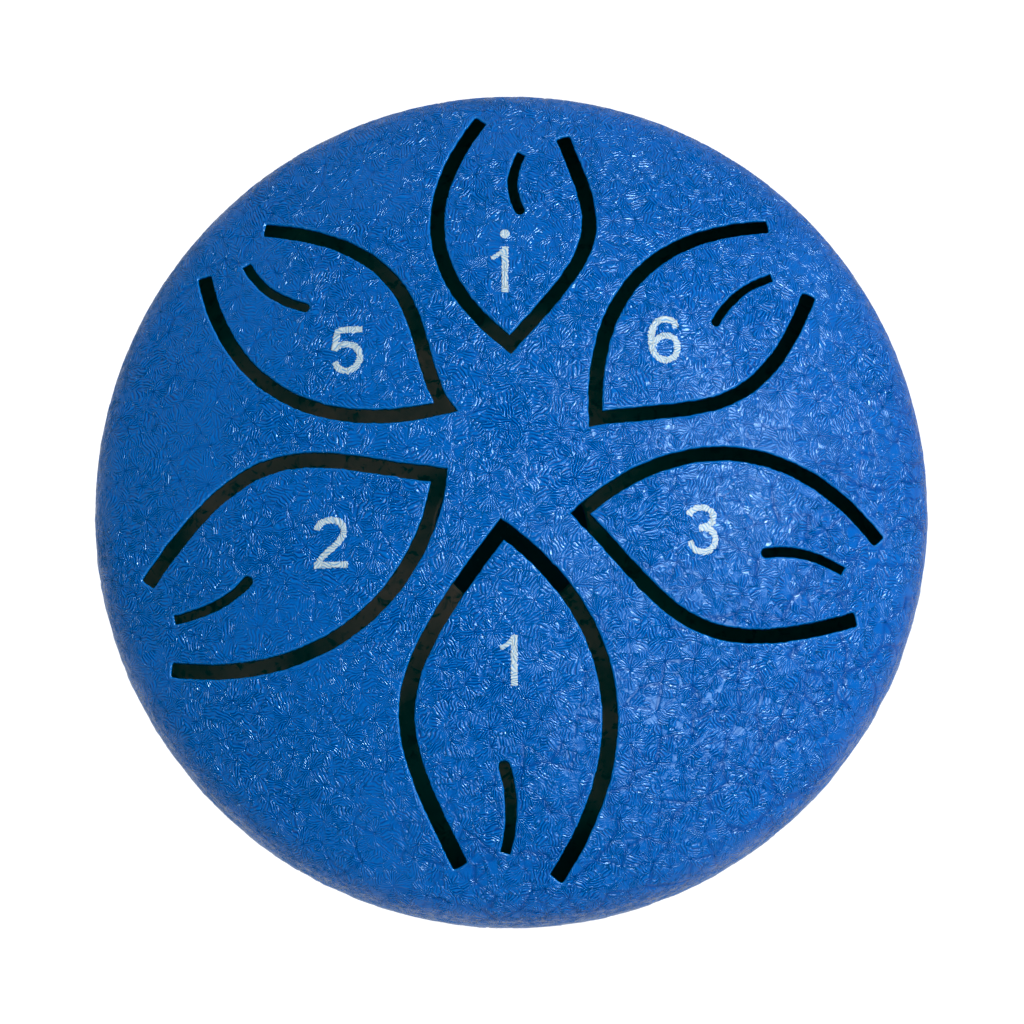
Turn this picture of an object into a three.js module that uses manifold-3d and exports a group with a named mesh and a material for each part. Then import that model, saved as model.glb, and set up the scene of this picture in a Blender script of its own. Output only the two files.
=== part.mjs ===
// A three-inch steel tongue drum: two pressed steel shells joined by a weld bead round the rim, standing on
// three stick-on silicone feet. Six leaf-shaped tongues are slit into the top shell, and each bends about its
// own uncut root near the rim. A round sound hole is punched in the middle of the bottom shell.
// Units are millimetres and +Z is up. The origin is the centre of the drum on the surface that it stands on.
import * as THREE from "three";
import { mergeVertices } from "three/addons/utils/BufferGeometryUtils.js";
import Module from "manifold-3d";

const wasm = await Module();
wasm.setup();

// Driving dimensions
const DRUM_RADIUS = 39.3; // outside of the weld bead
const BEAD_PROUD = 0.35; // how far the weld bead stands out of the shell wall
const BEAD_HEIGHT = 3.8;
const SHEET = 1.2; // thickness of the steel sheet
const FOOT_HEIGHT = 2.2; // silicone foot
const TAPE_HEIGHT = 0.3; // adhesive disc between a foot and the shell
const SHELL_HEIGHT = 20.5; // each shell, from its own crown or base to the seam
const TOP_WALL = 4.5; // straight wall of the top shell above the seam
const TOP_SHOULDER = 5; // outside radius of the top shell's shoulder
const BASE_SHOULDER = 15; // outside radius of the bottom shell's shoulder
const SOUND_HOLE_RADIUS = 7.5;
const FOOT_RADIUS = 4.2;
const FOOT_CIRCLE = 18.5; // circle that the feet stand on
const FOOT_COUNT = 3;
const TONGUE_SLOT = 1.4; // width of the slit round a tongue
const VEIN_SLOT = 1.0; // width of the short slit near a tongue's root
const FIT_GAP = 0.05; // between the bead and the shell walls

const ROUND_STEPS = 72; // facets round the drum
const CROWN_STEPS = 4; // facets of the crown's profile
const SHOULDER_STEPS = 6; // facets of each shoulder's profile
const BEAD_STEPS = 5;
const SLOT_STEPS = 12; // straight pieces along each side of a tongue
const VEIN_STEPS = 4;
const FOOT_STEPS = 24;

const SHELL_RADIUS = DRUM_RADIUS - BEAD_PROUD;
const BASE_Z = FOOT_HEIGHT + TAPE_HEIGHT; // underside of the bottom shell
const SEAM_Z = BASE_Z + SHELL_HEIGHT;
const CROWN_Z = SEAM_Z + SHELL_HEIGHT;

// Each tongue in its own frame: s runs outwards from the drum's axis along the bearing, in degrees from +X,
// and w runs to its left. The two sides of the slit start at the tip, and each is one cubic Bezier curve
// given by its two handles and its end beside the root. The vein is a quadratic curve of start, handle and end.
const TONGUES = [
  { bearing: -90.3, tip: [3.9, -0.8],
    left: [[11.3, 9.6], [22.6, 12.7], [35.1, 4.4]], right: [[18.6, -12.0], [20.8, -11.3], [34.0, -4.6]],
    vein: [[25.2, -0.5], [29.0, 0.7], [33.0, -0.4]] },
  { bearing: -159.8, tip: [5.8, -3.3],
    left: [[9.9, 5.0], [21.0, 11.8], [34.9, 4.1]], right: [[17.0, -9.2], [19.5, -14.0], [34.3, -4.3]],
    vein: [[25.6, -0.7], [28.5, 0.8], [33.2, -0.1]] },
  { bearing: 138.7, tip: [9.4, -1.6],
    left: [[15.5, 7.1], [25.0, 10.8], [35.3, 3.3]], right: [[15.8, -3.1], [19.7, -12.9], [33.9, -3.9]],
    vein: [[25.8, -0.4], [29.6, 1.3], [33.0, -0.1]] },
  { bearing: 88.3, tip: [13.3, 0.5],
    left: [[19.6, 8.9], [27.1, 9.6], [35.7, 4.0]], right: [[23.8, -8.5], [25.0, -7.4], [34.1, -3.9]],
    vein: [[26.5, 0.0], [29.3, 1.5], [32.4, 0.0]] },
  { bearing: 40.5, tip: [10.0, -0.2],
    left: [[16.4, 8.0], [24.8, 10.7], [34.8, 4.1]], right: [[18.7, -5.5], [21.4, -10.1], [33.4, -3.6]],
    vein: [[24.7, -0.2], [28.1, 1.2], [31.8, -0.1]] },
  { bearing: -13.5, tip: [6.7, -0.9],
    left: [[12.3, 7.5], [22.6, 12.4], [34.0, 4.2]], right: [[16.6, -7.1], [19.6, -12.1], [33.5, -3.6]],
    vein: [[24.1, 0.0], [27.3, 1.5], [31.5, 0.4]] },
];

const enamel = new THREE.MeshStandardMaterial({ color: 0x0f5cb0, roughness: 0.4, metalness: 0.1 });
const silicone = new THREE.MeshStandardMaterial({ color: 0x1a1a1c, roughness: 0.7, metalness: 0 });
const adhesive = new THREE.MeshStandardMaterial({ color: 0xd9d4c5, roughness: 0.8, metalness: 0 });

function solidOf(geometry) {
  const bare = geometry.index ? geometry.toNonIndexed() : geometry.clone();
  bare.deleteAttribute("normal");
  bare.deleteAttribute("uv");
  const merged = mergeVertices(bare, 1e-4);
  return new wasm.Manifold(new wasm.Mesh({
    numProp: 3,
    vertProperties: merged.attributes.position.array,
    triVerts: new Uint32Array(merged.index.array),
  }));
}

function geometryOf(solid) {
  const mesh = solid.getMesh();
  const geometry = new THREE.BufferGeometry();
  geometry.setAttribute("position", new THREE.BufferAttribute(mesh.vertProperties, 3));
  geometry.setIndex(new THREE.BufferAttribute(mesh.triVerts, 1));
  return geometry;
}

// A solid turned about +Z from a profile of [radius, z] points that starts and ends on the axis or closes.
function turned(profile, steps) {
  const points = profile.map(([r, z]) => new THREE.Vector2(r, z));
  return new THREE.LatheGeometry(points, steps).rotateX(Math.PI / 2);
}

function arc(centreR, centreZ, radius, from, to, steps) {
  return Array.from({ length: steps + 1 }, (_, i) => {
    const a = from + ((to - from) * i) / steps;
    return [centreR + radius * Math.cos(a), centreZ + radius * Math.sin(a)];
  });
}

// The top shell's outline in from the crown to the seam, moved in by inset: a shallow crown that runs into
// the shoulder with no step, then a straight wall. The crown's radius follows from the other sizes.
function topOutline(inset) {
  const shoulderR = SHELL_RADIUS - TOP_SHOULDER;
  const shoulderZ = SEAM_Z + TOP_WALL;
  const rise = SHELL_HEIGHT - TOP_WALL;
  const crown = (shoulderR ** 2 + rise ** 2 - TOP_SHOULDER ** 2) / (2 * (rise - TOP_SHOULDER));
  const crownZ = CROWN_Z - crown;
  const meet = Math.atan2(shoulderZ - crownZ, shoulderR);
  return [
    ...arc(0, crownZ, crown - inset, Math.PI / 2, meet, CROWN_STEPS),
    ...arc(shoulderR, shoulderZ, TOP_SHOULDER - inset, meet, 0, SHOULDER_STEPS).slice(1),
    [SHELL_RADIUS - inset, SEAM_Z],
  ];
}

// The bottom shell's outline from the edge of its sound hole out to the seam: a flat base, a round shoulder
// and a straight wall.
function baseOutline(inset) {
  const shoulderR = SHELL_RADIUS - BASE_SHOULDER;
  return [
    [SOUND_HOLE_RADIUS, BASE_Z + inset],
    ...arc(shoulderR, BASE_Z + BASE_SHOULDER, BASE_SHOULDER - inset, -Math.PI / 2, 0, SHOULDER_STEPS),
    [SHELL_RADIUS - inset, SEAM_Z],
  ];
}

const vector = ([s, w]) => new THREE.Vector2(s, w);

// One side of a slit, moved sideways by offset to the left of its direction of travel.
function offsetLine(curve, steps, offset) {
  return curve.getPoints(steps).map((point, i) => {
    const along = curve.getTangent(i / steps);
    return new THREE.Vector2(point.x - along.y * offset, point.y + along.x * offset);
  });
}

// The slit round a tongue as one closed outline: out along the left side, and back along the right side.
// The two outer lines meet in a pointed corner past the tip, and the two inner lines meet inside it.
function tongueOutline({ tip, left, right }) {
  const half = TONGUE_SLOT / 2;
  const leftCurve = new THREE.CubicBezierCurve(vector(tip), ...left.map(vector));
  const rightCurve = new THREE.CubicBezierCurve(vector(tip), ...right.map(vector));
  const a = leftCurve.getTangent(0);
  const b = rightCurve.getTangent(0);
  const middle = a.clone().add(b).normalize();
  const halfAngle = Math.acos(THREE.MathUtils.clamp(a.dot(b), -1, 1)) / 2;
  const corner = middle.clone().multiplyScalar(half / Math.sin(halfAngle));
  const start = vector(tip);
  const outerCorner = start.clone().sub(corner);
  const innerCorner = start.clone().add(corner);
  const reach = half / Math.tan(halfAngle);
  const clear = (line, curve) => line.filter((_, i) => {
    return curve.getPoint(i / SLOT_STEPS).distanceTo(start) > reach * 1.2;
  });
  const leftOuter = offsetLine(leftCurve, SLOT_STEPS, half).slice(1);
  const leftInner = clear(offsetLine(leftCurve, SLOT_STEPS, -half), leftCurve);
  const rightOuter = offsetLine(rightCurve, SLOT_STEPS, -half).slice(1);
  const rightInner = clear(offsetLine(rightCurve, SLOT_STEPS, half), rightCurve);
  return [outerCorner, ...rightOuter, ...rightInner.reverse(), innerCorner, ...leftInner,
    ...leftOuter.reverse()];
}

// The short slit near a tongue's root: round at its inner end and square at its outer end.
function veinOutline({ vein }) {
  const half = VEIN_SLOT / 2;
  const curve = new THREE.QuadraticBezierCurve(...vein.map(vector));
  const back = curve.getTangent(0).negate();
  const heading = Math.atan2(back.y, back.x);
  const round = [-1, 0, 1].map((k) => {
    const a = heading + (k * Math.PI) / 4;
    return curve.getPoint(0).add(new THREE.Vector2(Math.cos(a) * half, Math.sin(a) * half));
  });
  return [...round, ...offsetLine(curve, VEIN_STEPS, -half), ...offsetLine(curve, VEIN_STEPS, half).reverse()];
}

// A cutter that stands upright through the crown, over an outline in a tongue's own frame.
function cutter(outline, bearing) {
  const shape = new THREE.Shape(outline);
  const floor = SEAM_Z + TOP_WALL;
  const geometry = new THREE.ExtrudeGeometry(shape, { depth: CROWN_Z - floor + 1, bevelEnabled: false, steps: 1 });
  return solidOf(geometry.translate(0, 0, floor).rotateZ(THREE.MathUtils.degToRad(bearing)));
}

function topShell() {
  const blank = solidOf(turned([...topOutline(SHEET), ...topOutline(0).reverse()], ROUND_STEPS));
  const cut = TONGUES.reduce((shell, tongue) => shell
    .subtract(cutter(tongueOutline(tongue), tongue.bearing))
    .subtract(cutter(veinOutline(tongue), tongue.bearing)), blank);
  return new THREE.Mesh(geometryOf(cut), enamel);
}

function bottomShell() {
  const ring = [...baseOutline(0), ...baseOutline(SHEET).reverse()];
  return new THREE.Mesh(turned([...ring, ring[0]], ROUND_STEPS), enamel);
}

// The bead that closes the seam: a flat back against the two walls and a low round face.
function rimWeld() {
  const inner = SHELL_RADIUS + FIT_GAP;
  const half = BEAD_HEIGHT / 2;
  const proud = DRUM_RADIUS - inner;
  const face = Array.from({ length: BEAD_STEPS + 1 }, (_, i) => {
    const a = -Math.PI / 2 + (Math.PI * i) / BEAD_STEPS;
    return [inner + proud * Math.cos(a), SEAM_Z + half * Math.sin(a)];
  });
  return new THREE.Mesh(turned([...face, face[0]], ROUND_STEPS), enamel);
}

// A silicone foot: a low cone with a rounded lower edge.
function foot() {
  const edge = 0.7;
  const lower = FOOT_RADIUS - 0.4;
  const profile = [
    [0, 0],
    ...arc(lower - edge, edge, edge, -Math.PI / 2, 0, 3),
    [FOOT_RADIUS, FOOT_HEIGHT],
    [0, FOOT_HEIGHT],
  ];
  return new THREE.Mesh(turned(profile, FOOT_STEPS), silicone);
}

function tape() {
  const radius = FOOT_RADIUS - 0.3;
  const profile = [[0, 0], [radius, 0], [radius, TAPE_HEIGHT], [0, TAPE_HEIGHT]];
  return new THREE.Mesh(turned(profile, FOOT_STEPS), adhesive);
}

const drum = new THREE.Group();

function add(name, mesh, x = 0, y = 0, z = 0) {
  mesh.name = name;
  mesh.position.set(x, y, z);
  drum.add(mesh);
}

add("top_shell", topShell());
add("bottom_shell", bottomShell());
add("rim_weld", rimWeld());
for (let i = 0; i < FOOT_COUNT; i++) {
  const angle = -Math.PI / 2 + (i * 2 * Math.PI) / FOOT_COUNT;
  const x = FOOT_CIRCLE * Math.cos(angle);
  const y = FOOT_CIRCLE * Math.sin(angle);
  add(`foot_${i + 1}`, foot(), x, y);
  add(`foot_tape_${i + 1}`, tape(), x, y, FOOT_HEIGHT);
}

export default drum;
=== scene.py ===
import math
import bpy
import numpy as np
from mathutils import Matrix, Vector
from mathutils.geometry import delaunay_2d_cdt
from mathutils.kdtree import KDTree


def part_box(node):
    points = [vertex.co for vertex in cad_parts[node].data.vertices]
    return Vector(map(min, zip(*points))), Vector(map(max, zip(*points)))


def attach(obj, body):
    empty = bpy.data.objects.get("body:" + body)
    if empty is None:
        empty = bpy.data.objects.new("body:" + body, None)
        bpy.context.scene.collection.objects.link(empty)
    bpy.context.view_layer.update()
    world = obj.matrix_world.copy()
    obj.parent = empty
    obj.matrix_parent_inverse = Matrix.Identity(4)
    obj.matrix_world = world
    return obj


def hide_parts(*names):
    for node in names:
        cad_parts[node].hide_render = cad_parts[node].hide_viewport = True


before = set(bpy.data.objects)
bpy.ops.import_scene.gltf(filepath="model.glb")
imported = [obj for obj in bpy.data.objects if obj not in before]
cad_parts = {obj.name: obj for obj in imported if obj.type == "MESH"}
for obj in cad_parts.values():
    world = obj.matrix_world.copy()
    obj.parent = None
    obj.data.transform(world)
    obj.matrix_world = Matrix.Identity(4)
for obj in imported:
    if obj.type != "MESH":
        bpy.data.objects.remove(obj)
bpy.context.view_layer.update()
MM = 0.001


def solid_box(node):
    """A solid's lowest and highest corners, in millimetres."""
    return [[round(v / MM, 3) for v in corner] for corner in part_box(node)]


# ---------------------------------------------------------------- the solids' sizes, in millimetres
(_, _, SEAM_Z), (SHELL_R, _, CROWN_Z) = solid_box("top_shell")
BASE_Z = solid_box("bottom_shell")[0][2]
SHEET = 1.2
TOP_WALL = 4.5
TOP_SHOULDER = 5.0
BASE_SHOULDER = 15.0
HOLE_R = 7.5
BEAD_HALF = 1.9                   # the weld bead: half its height, how far it stands out, and its crown
BEAD_OUT = 0.27
BEAD_CROWN = 0.2
FOOT_R = 3.8
FOOT_TOP = solid_box("foot_1")[1][2]
TAPE_R = 3.9
TAPE_THICK = BASE_Z - FOOT_TOP

# ---------------------------------------------------------------- the coat, its lengths in millimetres
EDGE_R = 0.2                      # rounding of the coated edges
FAN_START = 0.3                   # where a fan's folds first grow in number
FAN_COUNT = 7.4                   # folds in a full turn there
FAN_GROWTH = 1.5                  # each growth's factor, in number and in distance
FAN_RAGGED = 0.08                 # how unevenly the growth sets in
FOLD_ROUND, FOLD_FLOOR, FOLD_RISE = 0.02, 0.14, 0.87
FOLD_MESH = 0.03                  # the folds' height in the mesh
FOLD_BUMP = 0.1                   # and in the material, at a finer grain than the mesh has
RIM_SWELL = 0.42                  # how far the coat builds up towards the seam
SEAM_PAINTED_REFLECTION = 0.4                   # how far the seam takes the paler colour of the slits' edges, as a painted reflection along the rim
RIM_FADE = 1.2                    # the folds fade out over this distance from the seam
INK_OVER, INK_UNDER = 0.014, 0.012
TOP_SEED, BOTTOM_SEED, BEAD_SEED, SLIT_SEED = 11, 71, 33, 90

# ---------------------------------------------------------------- spacing of the meshes' points
FINE = 0.22     # on the top's outer surface, before each triangle is split once
BOTTOM_FINE = FINE * 1.8
COARSE = 1.1                      # on the bare inside
OUTLINE_STEP = 0.2
EDGE_ROWS = (0.05, 0.12, 0.22)    # rows of points that follow a slit's edge outside
INNER_ROWS = (0.35,)              # and inside
BEAD_STEPS = 1600
UNROLLED_FROM = 60.0              # where turned pieces start on the flat position's second axis

# Each tongue's slit is two curves from its tip, in the tongue's own plan: x out along its bearing, y across.
# They are 1, 2, 5, high 1, 6 and 3, clockwise from the front.
TONGUES = [
    dict(bearing=-90.3, tip=(3.9, -0.8), left=((11.3, 9.6), (22.6, 12.7), (35.1, 4.4)),
         right=((18.6, -12.0), (20.8, -11.3), (34.0, -4.6)), vein=((25.2, -0.5), (29.0, 0.7), (33.0, -0.4)),
         slot=1.45, vein_w=1.1),
    dict(bearing=-159.8, tip=(5.8, -3.3), left=((9.9, 5.0), (21.0, 11.8), (34.9, 4.1)),
         right=((17.0, -9.2), (19.5, -14.0), (34.3, -4.3)), vein=((25.6, -0.7), (28.5, 0.8), (33.2, -0.1)),
         slot=1.43, vein_w=1.0),
    dict(bearing=138.7, tip=(9.4, -1.6), left=((15.5, 7.1), (25.0, 10.8), (35.3, 3.3)),
         right=((15.8, -3.1), (19.7, -12.9), (33.9, -3.9)), vein=((25.8, -0.4), (29.6, 1.3), (33.0, -0.1)),
         slot=1.32, vein_w=0.94),
    dict(bearing=88.3, tip=(13.3, 0.5), left=((19.6, 8.9), (27.1, 9.6), (35.7, 4.0)),
         right=((23.8, -8.5), (25.0, -7.4), (34.1, -3.9)), vein=((26.5, 0.0), (29.3, 1.5), (32.4, 0.0)),
         slot=1.32, vein_w=0.94),
    dict(bearing=40.5, tip=(10.0, -0.2), left=((16.4, 8.0), (24.8, 10.7), (34.8, 4.1)),
         right=((18.7, -5.5), (21.4, -10.1), (33.4, -3.6)), vein=((24.7, -0.2), (28.1, 1.2), (31.8, -0.1)),
         slot=1.31, vein_w=0.84),
    dict(bearing=-13.5, tip=(6.7, -0.9), left=((12.3, 7.5), (22.6, 12.4), (34.0, 4.2)),
         right=((16.6, -7.1), (19.6, -12.1), (33.5, -3.6)), vein=((24.1, 0.0), (27.3, 1.5), (31.5, 0.4)),
         slot=1.33, vein_w=0.95),
]


# ---------------------------------------------------------------- the shells' profiles
class Profile:
    """A shell's surface of revolution, by arc length s from the axis. inset moves it in, for the bare inside.
    The shoulder has radius rho about (cr, cz), and starts at angle phi. It runs from s1 to s2, the upright
    wall from s2 to end."""

    def __init__(self, top, inset=0.0):
        self.top = top
        shoulder = TOP_SHOULDER if top else BASE_SHOULDER
        self.rho = shoulder - inset
        self.cr = SHELL_R - shoulder
        if top:
            rise = CROWN_Z - SEAM_Z - TOP_WALL
            crown = (self.cr ** 2 + rise ** 2 - shoulder ** 2) / (2 * (rise - shoulder))
            self.centre = CROWN_Z - crown
            self.crown = crown - inset
            self.cz = SEAM_Z + TOP_WALL
            self.phi = math.pi / 2 - math.atan2(self.cz - self.centre, self.cr)
            self.s1 = self.crown * self.phi
            self.wall = TOP_WALL
        else:
            self.cz = BASE_Z + shoulder
            self.flat = BASE_Z + inset
            self.phi = 0.0
            self.s1 = self.cr
            self.wall = SEAM_Z - self.cz
        self.s2 = self.s1 + self.rho * (math.pi / 2 - self.phi)
        self.end = self.s2 + self.wall

    def at(self, s):
        """Radius, height and the outward normal's radial and upward parts, for arrays of arc length."""
        s = np.asarray(s, float)
        if self.top:
            a = s / self.crown
            r, z, nr, nz = self.crown * np.sin(a), self.centre + self.crown * np.cos(a), np.sin(a), np.cos(a)
        else:
            r, z, nr, nz = s, np.full_like(s, self.flat), np.zeros_like(s), -np.ones_like(s)
        sign = 1.0 if self.top else -1.0
        b = self.phi + (s - self.s1) / self.rho
        mid = s > self.s1
        r = np.where(mid, self.cr + self.rho * np.sin(b), r)
        z = np.where(mid, self.cz + sign * self.rho * np.cos(b), z)
        nr = np.where(mid, np.sin(b), nr)
        nz = np.where(mid, sign * np.cos(b), nz)
        low = s > self.s2
        r = np.where(low, self.cr + self.rho, r)
        z = np.where(low, self.cz - sign * (s - self.s2), z)
        nr = np.where(low, 1.0, nr)
        nz = np.where(low, 0.0, nz)
        return r, z, nr, nz

    def arc_of(self, r):
        """Arc length at a radius, on the crown and the shoulder."""
        r = np.asarray(r, float)
        first = self.crown * np.arcsin(np.clip(r / self.crown, 0, 1)) if self.top else r
        b = np.arcsin(np.clip((r - self.cr) / self.rho, 0, 1))
        return np.where(first > self.s1, self.s1 + self.rho * (b - self.phi), first)

    def unroll(self, xy):
        """Flat coordinates of plan positions: the same bearing, at the arc length."""
        r = np.hypot(xy[:, 0], xy[:, 1])
        return xy * (self.arc_of(r) / np.maximum(r, 1e-9))[:, None]

    def place(self, q, lift=0.0):
        """Positions in space of flat coordinates, raised along the normal, and their normals."""
        s = np.hypot(q[:, 0], q[:, 1])
        r, z, nr, nz = self.at(s)
        u = q / np.maximum(s, 1e-9)[:, None]
        n = np.stack([u[:, 0] * nr, u[:, 1] * nr, nz], -1)
        p = np.stack([u[:, 0] * r, u[:, 1] * r, z], -1)
        return p + n * np.reshape(lift, (-1, 1)), n


# ---------------------------------------------------------------- slit outlines, in plan
def bezier(points, count):
    """A quadratic or cubic Bezier curve, by the number of its points."""
    p = np.array(points, float)
    t = np.linspace(0, 1, count)[:, None]
    if len(p) == 4:
        c = ((1 - t) ** 3, 3 * t * (1 - t) ** 2, 3 * t * t * (1 - t), t ** 3)
    else:
        c = ((1 - t) ** 2, 2 * t * (1 - t), t * t)
    return sum(w * v for w, v in zip(c, p))


def sideways(line, offset):
    """The line moved to its left by offset, which may change along it."""
    d = np.gradient(line, axis=0)
    d /= np.linalg.norm(d, axis=1)[:, None]
    return line + np.stack([-d[:, 1], d[:, 0]], -1) * np.reshape(offset, (-1, 1))


def resample(loop, step):
    """Even steps round a closed outline."""
    closed = np.vstack([loop, loop[:1]])
    run = np.r_[0, np.cumsum(np.linalg.norm(np.diff(closed, axis=0), axis=1))]
    count = max(8, int(round(run[-1] / step)))
    at = np.linspace(0, run[-1], count, endpoint=False)
    return np.stack([np.interp(at, run, closed[:, k]) for k in (0, 1)], -1)


def keep_corners(loop, corners, step):
    """Even steps between the loop's corners, which stay exact."""
    out = []
    for i, j in zip(corners, corners[1:] + [corners[0] + len(loop)]):
        part = loop[np.arange(i, j + 1) % len(loop)]
        run = np.r_[0, np.cumsum(np.linalg.norm(np.diff(part, axis=0), axis=1))]
        count = max(1, int(round(run[-1] / step)))
        at = np.linspace(0, run[-1], count + 1)[:-1]
        out.append(np.stack([np.interp(at, run, part[:, k]) for k in (0, 1)], -1))
    return np.vstack(out)


def turned(points, bearing):
    """Plan points turned about the drum's axis."""
    a = math.radians(bearing)
    return points @ np.array([[math.cos(a), math.sin(a)], [-math.sin(a), math.cos(a)]])


def blunt_end(line, half, reach=0.22):
    """Points round a slit's end, from its right side to its left: a square with its corners rounded off."""
    along = (line[-1] - line[-2]) / np.linalg.norm(line[-1] - line[-2])
    across = np.array([-along[1], along[0]])
    a = np.linspace(-1.35, 1.35, 9)[:, None]
    x, y = np.abs(np.cos(a)) ** 0.5, np.sign(a) * np.abs(np.sin(a)) ** 0.5
    return line[-1] + across * y * half + along * x * reach


def tongue_outline(t, step):
    """The slit round a tongue: two arms that meet at its tip in a sharp corner, outside and inside."""
    half = t["slot"] / 2
    left = bezier((t["tip"],) + t["left"], 260)
    right = bezier((t["tip"],) + t["right"], 260)
    a, b = left[1] - left[0], right[1] - right[0]
    a, b = a / np.linalg.norm(a), b / np.linalg.norm(b)
    middle = (a + b) / np.linalg.norm(a + b)
    half_angle = math.acos(float(np.clip(a @ b, -1, 1))) / 2
    corner = middle * half / math.sin(half_angle)
    tip = np.array(t["tip"])
    reach = half / math.tan(half_angle)

    def clear(side, line):
        """An inner side without its points too near the tip, where the two arms overlap."""
        return side[np.linalg.norm(line - tip, axis=1) > reach * 1.12]
    right_out, right_in = sideways(right, -half)[1:], clear(sideways(right, half), right)
    left_out, left_in = sideways(left, half)[1:], clear(sideways(left, -half), left)
    right_end, left_end = blunt_end(right, half), blunt_end(left, half)
    loop = np.vstack([tip - corner, right_out, right_end, right_in[::-1],
                      tip + corner, left_in, left_end, left_out[::-1]])
    inner_tip = len(right_out) + len(right_end) + len(right_in) + 1
    return turned(keep_corners(loop, [0, inner_tip], step), t["bearing"])


def vein_outline(t, step):
    """The short slit near a tongue's root: round at its start, a little narrower and square at its end."""
    half = t["vein_w"] / 2
    count = 60
    line = bezier(t["vein"], count)
    back = line[0] - line[1]
    head = math.atan2(back[1], back[0])
    a = head + np.linspace(-1.2, 1.2, 9)
    cap = line[0] + np.stack([np.cos(a), np.sin(a)], -1) * half
    taper = half * (1 - 0.12 * np.linspace(0, 1, count) ** 2)
    lo, hi = sideways(line, -taper), sideways(line, taper)
    loop = np.vstack([cap, lo, hi[::-1]])
    end = len(cap) + count
    return turned(keep_corners(loop, [0, end - 1, end], step), t["bearing"])


def ragged(loop, seed):
    """The outline as the coat leaves it, a little uneven."""
    off = 0.035 * noise(loop, 0.9, seed) + 0.03 * noise(loop, 0.35, seed + 1)
    return sideways(np.vstack([loop[-1:], loop, loop[:1]]), np.r_[off[-1], off, off[0]])[1:-1]


def anticlockwise(loop):
    """Whether an outline runs anticlockwise."""
    x, y = loop[:, 0], loop[:, 1]
    return float((x * np.roll(y, -1) - np.roll(x, -1) * y).sum()) > 0


def inside(loop, p):
    """Which points lie inside a closed outline, by crossings."""
    hit = np.zeros(len(p), bool)
    lo, hi = loop.min(0), loop.max(0)
    near = np.flatnonzero(((p > lo) & (p < hi)).all(1))
    if not len(near):
        return hit
    q = p[near]
    odd = np.zeros(len(q), bool)
    a, b = loop, np.roll(loop, -1, 0)
    for (x0, y0), (x1, y1) in zip(a, b):
        if y0 == y1:
            continue
        across = (y0 > q[:, 1]) != (y1 > q[:, 1])
        odd ^= across & (q[:, 0] < (x1 - x0) * (q[:, 1] - y0) / (y1 - y0) + x0)
    hit[near] = odd
    return hit


# ---------------------------------------------------------------- flat triangulation round the outlines
def tree_of(points):
    """A search tree of flat points."""
    kd = KDTree(len(points))
    for i, p in enumerate(points):
        kd.insert((p[0], p[1], 0.0), i)
    kd.balance()
    return kd


def gaps_to(kd, points):
    """Each point's distance to the nearest one in the tree."""
    return np.array([kd.find((x, y, 0.0))[2] for x, y in points.tolist()])


def hex_grid(radius, step, seed):
    """Points of a triangular grid inside a circle, each a little out of place."""
    jitter = 0.22
    rng = np.random.default_rng(seed)
    n = int(radius / step) + 2
    i, j = np.meshgrid(np.arange(-2 * n, 2 * n + 1), np.arange(-2 * n, 2 * n + 1))
    p = np.stack([(i + 0.5 * j) * step, j * step * math.sqrt(0.75)], -1).reshape(-1, 2)
    p = p[np.hypot(p[:, 0], p[:, 1]) < radius]
    return p + rng.uniform(-jitter, jitter, p.shape) * step


def ring(radius, step):
    """An even number of points round a circle, about step apart."""
    count = 2 * int(math.pi * radius / step)
    a = np.arange(count) * 2 * math.pi / count
    return np.stack([np.cos(a), np.sin(a)], -1) * radius


def triangulate(rim, holes, marks, fill, offsets):
    """Points and triangles of the flat region inside rim and outside holes. It keeps the edges of marks too.
    offsets are the distances of the extra rows of points that follow each hole's edge."""
    fixed = [rim] + list(holes) + list(marks)
    edges = tree_of(np.vstack(holes))
    rows = []
    for loop in holes:
        sign = -1.0 if anticlockwise(loop) else 1.0
        for d in offsets:
            side = sideways(np.vstack([loop[-1:], loop, loop[:1]]), sign * d)[1:-1]
            rows.append(side[gaps_to(edges, side) > d * 0.93])
    fill = fill[gaps_to(edges, fill) > offsets[-1] + 0.45 * FINE]
    for loop in holes:
        fill = fill[~inside(loop, fill)]
    if marks:
        fill = fill[gaps_to(tree_of(np.vstack(marks)), fill) > 0.3 * FINE]
    points = np.vstack(fixed + rows + [fill])
    links, start = [], 0
    for loop in fixed:
        n = len(loop)
        k = np.arange(n)
        links.append(np.stack([start + k, start + (k + 1) % n], -1))
        start += n
    verts, _, faces, vin, _, _ = delaunay_2d_cdt(
        [Vector(p) for p in points.tolist()], np.vstack(links).tolist(), [], 0, 1e-7)
    p = np.array([tuple(v) for v in verts])
    f = np.array(faces, dtype=np.int64)
    c = p[f].mean(1)
    keep = np.ones(len(f), bool)
    for loop in holes:
        keep &= ~inside(loop, c)
    a, b, d = p[f[:, 0]], p[f[:, 1]], p[f[:, 2]]
    area = (b[:, 0] - a[:, 0]) * (d[:, 1] - a[:, 1]) - (b[:, 1] - a[:, 1]) * (d[:, 0] - a[:, 0])
    f[area < 0] = f[area < 0][:, ::-1]
    keep &= np.hypot(c[:, 0], c[:, 1]) < np.hypot(rim[:, 0], rim[:, 1]).max()
    f = f[keep & (np.abs(area) > 1e-9)]
    where = {}
    for i, src in enumerate(vin):
        for k in src:
            where[k] = i
    loops, start = [], 0
    for loop in fixed[:1 + len(holes)]:
        loops.append(np.array([where[start + k] for k in range(len(loop))]))
        start += len(loop)
    return p, f, loops


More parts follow.
